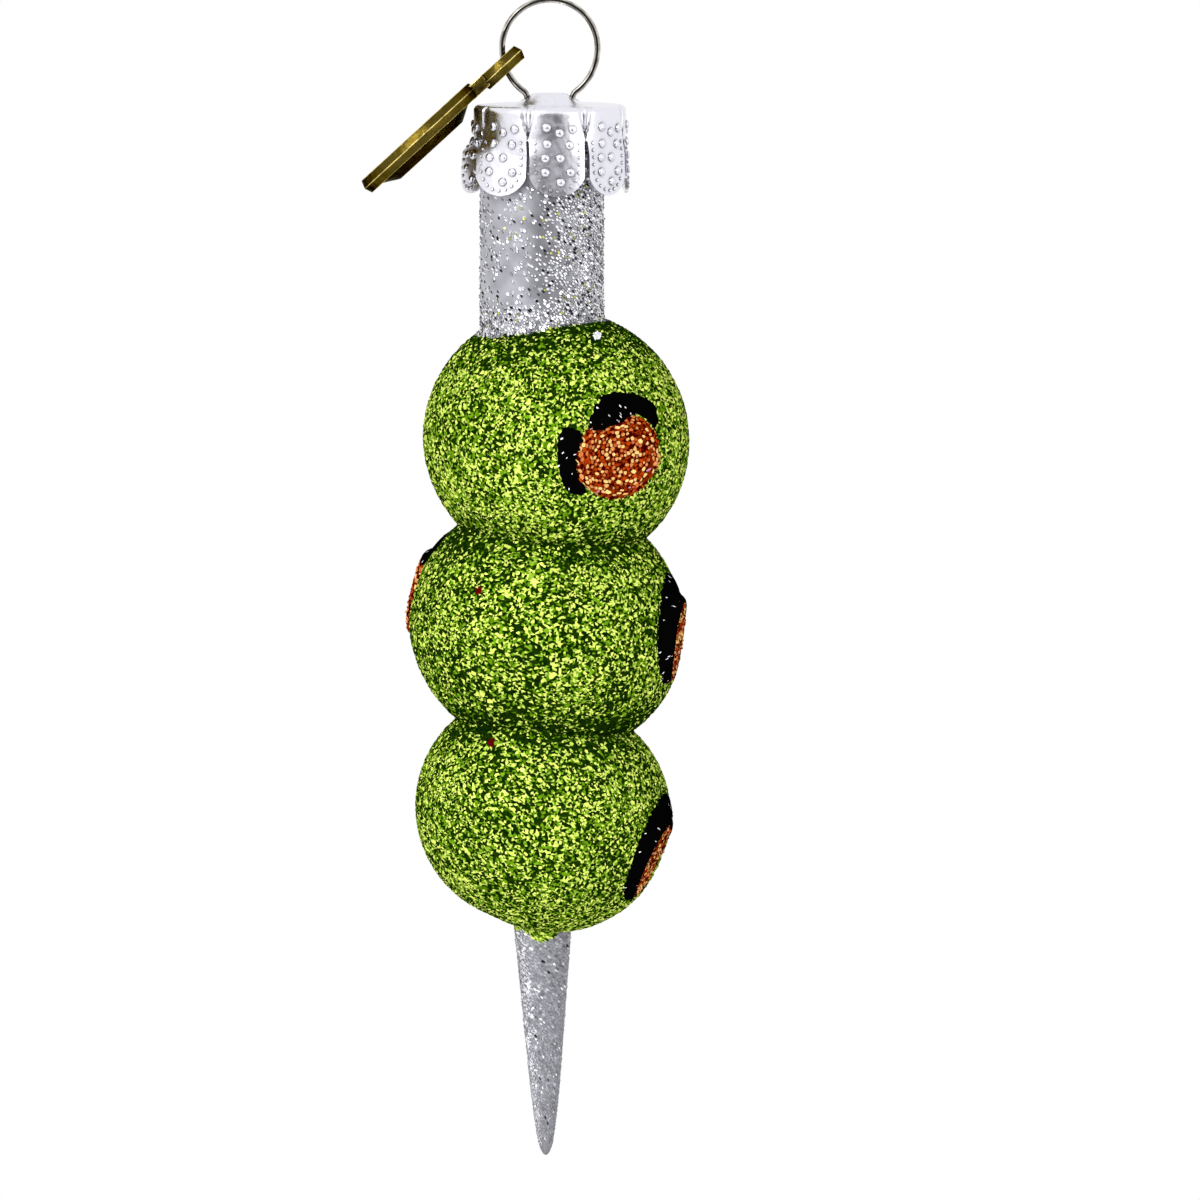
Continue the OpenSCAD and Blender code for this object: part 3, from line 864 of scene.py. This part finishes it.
def add_sheet(bm):
    """The stamped cup: one petal's share of it as a grid, then seven more."""
    bumps = set(bm.faces)
    rows = cap_rows()
    made = bmesh.ops.create_grid(bm, x_segments=petal_columns, y_segments=len(rows) - 1, size=0.5)
    for spot in made["verts"]:
        radius, z = rows[round((spot.co.y + 0.5) * (len(rows) - 1))]
        side = math.sin(math.pi * spot.co.x)
        half = petal_half_angle
        if z < slit_z - 1e-6:
            half = petal_half_width(z) / cap_radius
        elif radius > cap_radius - shoulder - 1e-6:
            radius += pleat((1 - abs(side)) * cap_radius * half, z)
        spot.co = Vector((radius * math.sin(side * half), -radius * math.cos(side * half), z))
    faces = {face for spot in made["verts"] for face in spot.link_faces}
    edges = {edge for spot in made["verts"] for edge in spot.link_edges}
    repeat_petals(bm, made["verts"] + list(edges) + list(faces))
    bmesh.ops.remove_doubles(bm, verts=bm.verts[:], dist=4e-6)
    for x in (-wire_gap / 2, wire_gap / 2):
        hole = [face for face in bm.faces
                if (place := face.calc_center_median()).z > plate_z - 0.01 * mm
                and math.hypot(place.x - x, place.y) < wire_hole]
        bmesh.ops.delete(bm, geom=hole, context="FACES")
        for spot in bm.verts:
            reach = math.hypot(spot.co.x - x, spot.co.y)
            if spot.is_boundary and reach < 1.6 * wire_hole:
                spot.co.x = x + (spot.co.x - x) * wire_hole / reach
                spot.co.y *= wire_hole / reach
    sheet = [face for face in bm.faces if face not in bumps]
    bmesh.ops.recalc_face_normals(bm, faces=sheet)
    bmesh.ops.solidify(bm, geom=sheet, thickness=cap_sheet)


def add_dome(bm, across, z, radius, height, segments):
    """A round bump pressed out of a petal, at a place across it and a height."""
    place = (Matrix.Rotation(across / cap_radius, 4, "Z") @ Matrix.Translation((0, -cap_radius, z))
             @ Matrix.Rotation(math.pi / 2, 4, "X") @ Matrix.Diagonal((radius, radius, height, 1)))
    made = bmesh.ops.create_uvsphere(bm, u_segments=segments, v_segments=segments // 2, radius=1)
    for spot in made["verts"]:
        steep = math.sqrt(max(0, 1 - math.hypot(spot.co.x, spot.co.y) ** 4))
        spot.co = place @ Vector((spot.co.x, spot.co.y, math.copysign(steep, spot.co.z)))


bead_inset = 0.5 * mm
bead_gap = 0.72 * mm
bead_radius, bead_height = 0.18 * mm, 0.17 * mm
dot_radius, dot_height = 0.45 * mm, 0.27 * mm
# Across the petal and below the plate, in mm
dots = [(-1.05, 1.95), (0.25, 2.5), (1.6, 2.15), (-1.0, 3.6), (1.25, 3.7), (-1.2, 5.0), (0.3, 5.0),
        (-1.2, 6.4), (1.35, 6.4), (0.35, 7.4)]


def add_domes(bm):
    """The beads along one petal's edge and the dots in its field, then seven more petals of them."""
    reach = petal_round - slit_half * 2 - bead_inset
    middle = cap_foot + petal_round
    side = slit_z - 0.3 * mm - middle
    length = 2 * side + math.pi * reach
    count = round(length / bead_gap)
    for i in range(count + 1):
        along = length * i / count
        if along < side:
            across, z = -reach, middle + side - along
        elif along < side + math.pi * reach:
            bend = (along - side) / reach
            across, z = -reach * math.cos(bend), middle - (reach + slit_half * 2) * math.sin(bend)
        else:
            across, z = reach, middle + along - side - math.pi * reach
        add_dome(bm, across, z, bead_radius, bead_height, 8)
    for across, below in dots:
        add_dome(bm, across * mm, plate_z - below * mm, dot_radius, dot_height, 12)
    repeat_petals(bm, bm.verts[:] + bm.edges[:] + bm.faces[:])


# How far each petal is bent out and twisted, in degrees, from the front one round by the right
petal_flare = [1.5, 1, 2, 3, 2, 3, 6, 4]
petal_twist = [0, 0, 0, 0, 0, 0, 20, 14]
petal_flatness = 0.5
petal_bend = 1.5 * mm


def bend_petals(bm):
    """Flattens each petal, bends it out about the line at the top of its slits and twists it."""
    for spot in bm.verts:
        below = slit_z - spot.co.z
        if below <= 0:
            continue
        turn = math.atan2(spot.co.x, -spot.co.y) - petal_turn
        petal = round(turn / (2 * petal_half_angle)) % petal_count
        upright = Matrix.Rotation(petal_turn + 2 * petal_half_angle * petal, 4, "Z")
        hinge = upright @ Matrix.Translation((0, -cap_radius, slit_z))
        bent = min(1, below / petal_bend)
        local = hinge.inverted() @ spot.co
        local.y -= petal_flatness * bent * local.x ** 2 / (2 * cap_radius)
        spot.co = (hinge @ Matrix.Rotation(-math.radians(petal_flare[petal]) * bent, 4, "X")
                   @ Matrix.Rotation(math.radians(petal_twist[petal]) * bent, 4, "Z") @ local)


def stamp_cap():
    bm = bmesh.new()
    add_domes(bm)
    add_sheet(bm)
    bend_petals(bm)
    smooth_faces(bm)
    piece = finish_piece(bm, "cap", [cap_metal], "hanger", "cap", "cap_crown")
    piece.data.set_sharp_from_angle(angle=math.radians(50))


stamp_cap()


# Hanger wire
# One length of spring wire: a round loop, and two legs that go through the cap's boss,
# spread inside the neck and hold the cap down on the glass. Its colour is painted dark on its front
# and back and bright on its sides, a painted reflection of the dim room and the white studio.

def rub_and_sheen_group():
    """Colours of a darkened metal that turns bright in patches where its attribute says so, for rubbed
    edges and for painted reflections and highlights.
    """
    group, inside = start_group("rub_and_sheen_colours", ("Dull", "Bright"))
    rubbed_and_sheen = add_node(group, "ShaderNodeAttribute", {"attribute_name": "rubbed_and_sheen"}).outputs["Fac"]
    patches = add_node(group, "ShaderNodeMath", {"operation": "MULTIPLY"},
                       sources={0: rubbed_and_sheen, 1: cloudy(group, 1100, 0.35, 1.25)})
    colour = mix_colours(group, patches.outputs["Value"], inside["Dull"], inside["Bright"])
    group.links.new(colour, group.nodes.new("NodeGroupOutput").inputs["Color"])
    return group


rub_and_sheen_colours = rub_and_sheen_group()

wire_metal, tree, shader = start_material("wire_metal", {
    "Metallic": 1, "Specular Tint": (0.5, 0.48, 0.44, 1)})
# Painted reflection: dark where the wire faces front and back, bright at its sides
steel = add_node(tree, "ShaderNodeGroup", {"node_tree": rub_and_sheen_colours},
                 {"Dull": (0.05, 0.046, 0.04, 1), "Bright": (0.76, 0.73, 0.67, 1)})
tree.links.new(steel.outputs["Color"], shader.inputs["Base Color"])
tree.links.new(cloudy(tree, 1500, 0.06, 0.14), shader.inputs["Roughness"])

wire_radius = 0.3 * mm
wire_sides = 24
bend_step = math.radians(5)
# Painted reflection: the wire turns from dull to bright across this part of its section, as a share
# from front to side
sheen_start, sheen_width = 0.38, 0.3
loop_radius = 4.75 * mm
loop_z = -4.45 * mm
# The lower half of the loop is drawn out a little towards the cap
loop_stretch = 1.1
foot_radius = 0.8 * mm
knee_radius = 1.5 * mm
knee_z = plate_z - cap_sheet
leg_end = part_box("hanger_wire")[0].z
# How far each leg's tip stands outside its hole in the cap
right_spread = 1.45 * mm
left_spread = 3.05 * mm


def bend_wire(bm, ring, x, z, angle):
    """Carries the wire on round a bend and gives back its last ring."""
    made = bmesh.ops.spin(bm, geom=ring, cent=(x, 0, z), axis=(0, 1, 0), angle=angle,
                          steps=max(3, round(abs(angle) / bend_step)))
    return ring_edges(made["geom_last"])


def run_wire(bm, ring, x, z):
    """Carries the wire straight on by a distance and gives back its last ring."""
    made = bmesh.ops.extrude_edge_only(bm, edges=ring)
    spots = [part for part in made["geom"] if isinstance(part, bmesh.types.BMVert)]
    bmesh.ops.translate(bm, verts=spots, vec=(x, 0, z))
    return [edge for edge in ring_edges(made["geom"]) if all(spot in spots for spot in edge.verts)]


def bend_hanger():
    bm = bmesh.new()
    start = Matrix.Translation((0, 0, loop_z + loop_radius)) @ Matrix.Rotation(math.pi / 2, 4, "Y")
    bmesh.ops.create_circle(bm, segments=wire_sides, radius=wire_radius, matrix=start)
    top_ring = bm.edges[:]
    foot_x = wire_gap / 2 + foot_radius
    foot_turn = math.asin(foot_x / (loop_radius + foot_radius))
    foot_z = loop_z - (loop_radius + foot_radius) * math.cos(foot_turn)
    feet = {}
    for side in (1, -1):
        ring = bend_wire(bm, top_ring, 0, loop_z, side * (math.pi - foot_turn))
        feet[side] = bend_wire(bm, ring, side * foot_x, foot_z, side * (foot_turn - math.pi / 2))
    for spot in bm.verts:
        if spot.co.z < loop_z:
            spot.co.z = loop_z + (spot.co.z - loop_z) * loop_stretch
    for side, spread in ((1, right_spread), (-1, left_spread)):
        run = knee_z - leg_end
        knee = math.atan2(run, knee_radius - spread)
        knee -= math.acos(knee_radius / math.hypot(knee_radius - spread, run))
        ring = run_wire(bm, feet[side], 0, knee_z - loop_z - (foot_z - loop_z) * loop_stretch)
        ring = bend_wire(bm, ring, side * (wire_gap / 2 + knee_radius), knee_z, -side * knee)
        fall = leg_end + wire_radius * math.sin(knee) - knee_z + knee_radius * math.sin(knee)
        ring = run_wire(bm, ring, -side * fall * math.tan(knee), fall)
        bmesh.ops.edgeloop_fill(bm, edges=ring)
    bmesh.ops.recalc_face_normals(bm, faces=bm.faces[:])
    bm.normal_update()
    rub_and_sheen_layer = bm.verts.layers.float.new("rubbed_and_sheen")
    # Painted reflection: faces that look to the front or back stay dark, the sides turn bright
    for spot in bm.verts:
        sideways = math.sqrt(max(0, 1 - spot.normal.y ** 2))
        spot[rub_and_sheen_layer] = min(1, max(0, (sideways - sheen_start) / sheen_width))
    smooth_faces(bm)
    piece = finish_piece(bm, "hanger", [wire_metal], "hanger", "wire", "hanger_wire")
    piece.data.set_sharp_from_angle(angle=math.radians(50))


bend_hanger()


# Tag
# A small cast brass tag hangs on the loop by its eye: a disc with a ridge round its edge, a raised rim
# and a plain raised middle towards the cap. It is darkened, and its bevelled edges are coloured bright,
# rubbed brass with a painted highlight along them.

tag_metal, tree, shader = start_material("tag_brass", {
    "Metallic": 1, "Specular Tint": (0.14, 0.125, 0.05, 1)})
brass = add_node(tree, "ShaderNodeGroup", {"node_tree": rub_and_sheen_colours},
                 {"Dull": (0.064, 0.043, 0.0015, 1), "Bright": (1.0, 0.80, 0.27, 1)})
tree.links.new(brass.outputs["Color"], shader.inputs["Base Color"])
tree.links.new(cloudy(tree, 1600, 0.22, 0.42), shader.inputs["Roughness"])
cast = add_node(tree, "ShaderNodeBump", values={"Strength": 0.35, "Distance": 0.0001},
                sources={"Height": cloudy(tree, 1300, 0, 1, 2)})
tree.links.new(cast.outputs["Normal"], shader.inputs["Normal"])

tag_hinge = Vector(next(joint["pos_m"] for joint in frame["record"]["behaviour"]["joints"]
                        if joint["name"] == "tag_swing"))
tag_fall = math.radians(222.5)
tag_roll = math.radians(1.5)
tag_radius = 7.5 * mm
tag_half = 0.8 * mm
tag_ridge = 0.3 * mm
tag_rim = 0.9 * mm
tag_sunk = 0.25 * mm
tag_middle = 11.15 * mm
tag_lift = -0.5 * mm
relief_height = 0.9 * mm
relief_top_radius = 4.2 * mm
relief_foot_radius = 6.2 * mm
eye_middle = 0.4 * mm
eye_lift = -0.15 * mm
eye_radius = 2.65 * mm
eye_hole = 1.65 * mm
stem_half = 1.6 * mm
stem_inset = 0.3 * mm
tag_bevel = 0.1 * mm
# How far the darkened faces between the bright edges are rubbed
face_rub = 0.04


def spin_section(bm, points, x, lift, segments):
    """Spins a closed or axis-bound outline of points (radius, height) round a line along Z at x."""
    spots = [bm.verts.new((x + radius, 0, lift + height)) for radius, height in points]
    edges = [bm.edges.new(pair) for pair in zip(spots, spots[1:])]
    if points[0][0] > 0:
        edges.append(bm.edges.new((spots[-1], spots[0])))
    bmesh.ops.spin(bm, geom=spots + edges, cent=(x, 0, 0), axis=(0, 0, 1), angle=2 * math.pi,
                   steps=segments, use_merge=True)


def cast_tag():
    bm = bmesh.new()
    rub_and_sheen_layer = bm.faces.layers.float.new("rubbed_and_sheen")
    slope = tag_radius - tag_ridge
    field = slope - tag_rim
    top = tag_half + relief_height
    sunk = tag_half - tag_sunk
    disc = [(0, top), (relief_top_radius, top), (relief_foot_radius, sunk), (field, sunk),
            (field, tag_half), (slope, tag_half), (tag_radius, 0), (slope, -tag_half),
            (field, -tag_half), (field, -sunk), (0, -sunk)]
    spin_section(bm, disc, tag_middle, tag_lift, 96)
    eye_slope = eye_radius - tag_ridge
    eye = [(eye_hole, tag_half), (eye_slope, tag_half), (eye_radius, 0), (eye_slope, -tag_half),
           (eye_hole, -tag_half)]
    spin_section(bm, eye, eye_middle, eye_lift, 64)
    stem_start = eye_middle + eye_hole + stem_inset
    stem_end = tag_middle - tag_radius + tag_rim
    block = (Matrix.Translation(((stem_start + stem_end) / 2, 0, (tag_lift + eye_lift) / 2))
             @ Matrix.Diagonal((stem_end - stem_start, 2 * stem_half, 2 * tag_half - tag_ridge, 1)))
    bmesh.ops.create_cube(bm, size=1, matrix=block)
    bmesh.ops.remove_doubles(bm, verts=bm.verts[:], dist=1e-7)
    bmesh.ops.recalc_face_normals(bm, faces=bm.faces[:])
    bm.normal_update()
    edges = [edge for edge in bm.edges if edge.calc_face_angle(0) > math.radians(15)]
    made = bmesh.ops.bevel(bm, geom=edges, offset=tag_bevel, offset_type="OFFSET", affect="EDGES",
                           segments=2, profile=0.5, material=-1, clamp_overlap=True)
    for face in bm.faces:
        face.smooth = True
        face[rub_and_sheen_layer] = face_rub
    # Rubbed brass and a painted highlight: the bevels take the bright colour
    for face in made["faces"]:
        face[rub_and_sheen_layer] = 1
    bm.transform(Matrix.Translation(tag_hinge) @ Matrix.Rotation(-tag_fall, 4, "Y")
                 @ Matrix.Rotation(tag_roll, 4, "X"))
    piece = finish_piece(bm, "tag", [tag_metal], "tag", "tag", "hang_tag")
    piece.data.set_sharp_from_angle(angle=math.radians(35))


cast_tag()


# Studio
# A pale floor well below the hanging ornament, soft light from the front, both sides and behind,
# and a white background that metal shows too, with a dim room behind the camera.

photo_middle = Vector((5.0, 0, -59.7)) * mm
photo_height = 120 * mm
camera_distance = 1.2
camera_rise = math.radians(5)

lens = bpy.data.cameras.new("camera")
lens.sensor_width = 36
lens.lens = lens.sensor_width * camera_distance / photo_height
lens.clip_start = 0.01
camera = add_object("camera", lens)
away = Vector((0, -math.cos(camera_rise), math.sin(camera_rise)))
camera.location = photo_middle + away * camera_distance
camera.rotation_euler = (-away).to_track_quat("-Z", "Y").to_euler()
bpy.context.scene.camera = camera

# Direction of the dim room that metal shows, to the right of the camera and below it
room_direction = Vector((0.12, -0.9, -0.32)).normalized()


def light_world():
    """White where the camera sees it, and otherwise a plain soft light with the dim room in it."""
    world = bpy.data.worlds.new("studio")
    bpy.context.scene.world = world
    world.use_nodes = True
    tree = world.node_tree
    background = tree.nodes["Background"]
    ray = add_node(tree, "ShaderNodeLightPath").outputs
    direction = add_node(tree, "ShaderNodeTexCoord").outputs["Generated"]
    towards = add_node(tree, "ShaderNodeVectorMath", {"operation": "DOT_PRODUCT"},
                       sources={0: direction})
    towards.inputs[1].default_value = room_direction
    dim_room = add_node(tree, "ShaderNodeMapRange", {"interpolation_type": "SMOOTHSTEP"},
                        {"From Min": 0.99, "From Max": 0.78, "To Min": 0.02, "To Max": 0.97},
                        {"Value": towards.outputs["Value"]})
    plain = add_node(tree, "ShaderNodeMix", values={"A": 0.35},
                     sources={"Factor": ray["Is Glossy Ray"], "B": dim_room.outputs["Result"]})
    seen = add_node(tree, "ShaderNodeMath", {"operation": "MAXIMUM"},
                    sources={0: ray["Is Camera Ray"], 1: ray["Is Transmission Ray"]})
    strength = add_node(tree, "ShaderNodeMix", values={"B": 1.0},
                        sources={"Factor": seen.outputs["Value"], "A": plain.outputs["Result"]})
    background.inputs["Color"].default_value = (1, 1, 1, 1)
    tree.links.new(strength.outputs["Result"], background.inputs["Strength"])


light_world()


def soft_light(name, place, size, watts, mirrored=True):
    """A square lamp that faces the ornament, which metal mirrors or doesn't."""
    lamp = bpy.data.lights.new(name, "AREA")
    lamp.size = size
    lamp.energy = watts
    light = add_object(name, lamp)
    light.location = place
    light.visible_glossy = mirrored
    light.rotation_euler = (photo_middle - light.location).to_track_quat("-Z", "Y").to_euler()


soft_light("key_light", (-0.55, -0.75, 0.45), 0.5, 6.0)
soft_light("front_light", (-0.05, -1.1, 0.3), 0.4, 6.0, False)
soft_light("fill_light", (0.7, -0.7, 0.1), 0.6, 1.5)
soft_light("back_light", (0.15, 1.0, 0.35), 0.5, 5.0, False)

floor_z = -0.3
floor_radius = 0.9
bm = bmesh.new()
bmesh.ops.create_circle(bm, cap_ends=True, segments=96, radius=floor_radius,
                        matrix=Matrix.Translation((0, 0, floor_z)))
floor_mesh = bpy.data.meshes.new("floor")
bm.to_mesh(floor_mesh)
bm.free()
floor_paper = start_material("floor_paper", {"Base Color": (0.9, 0.9, 0.9, 1), "Roughness": 0.9})[0]
floor_mesh.materials.append(floor_paper)
floor = add_object("floor", floor_mesh)

bpy.context.scene.view_settings.view_transform = "Standard"
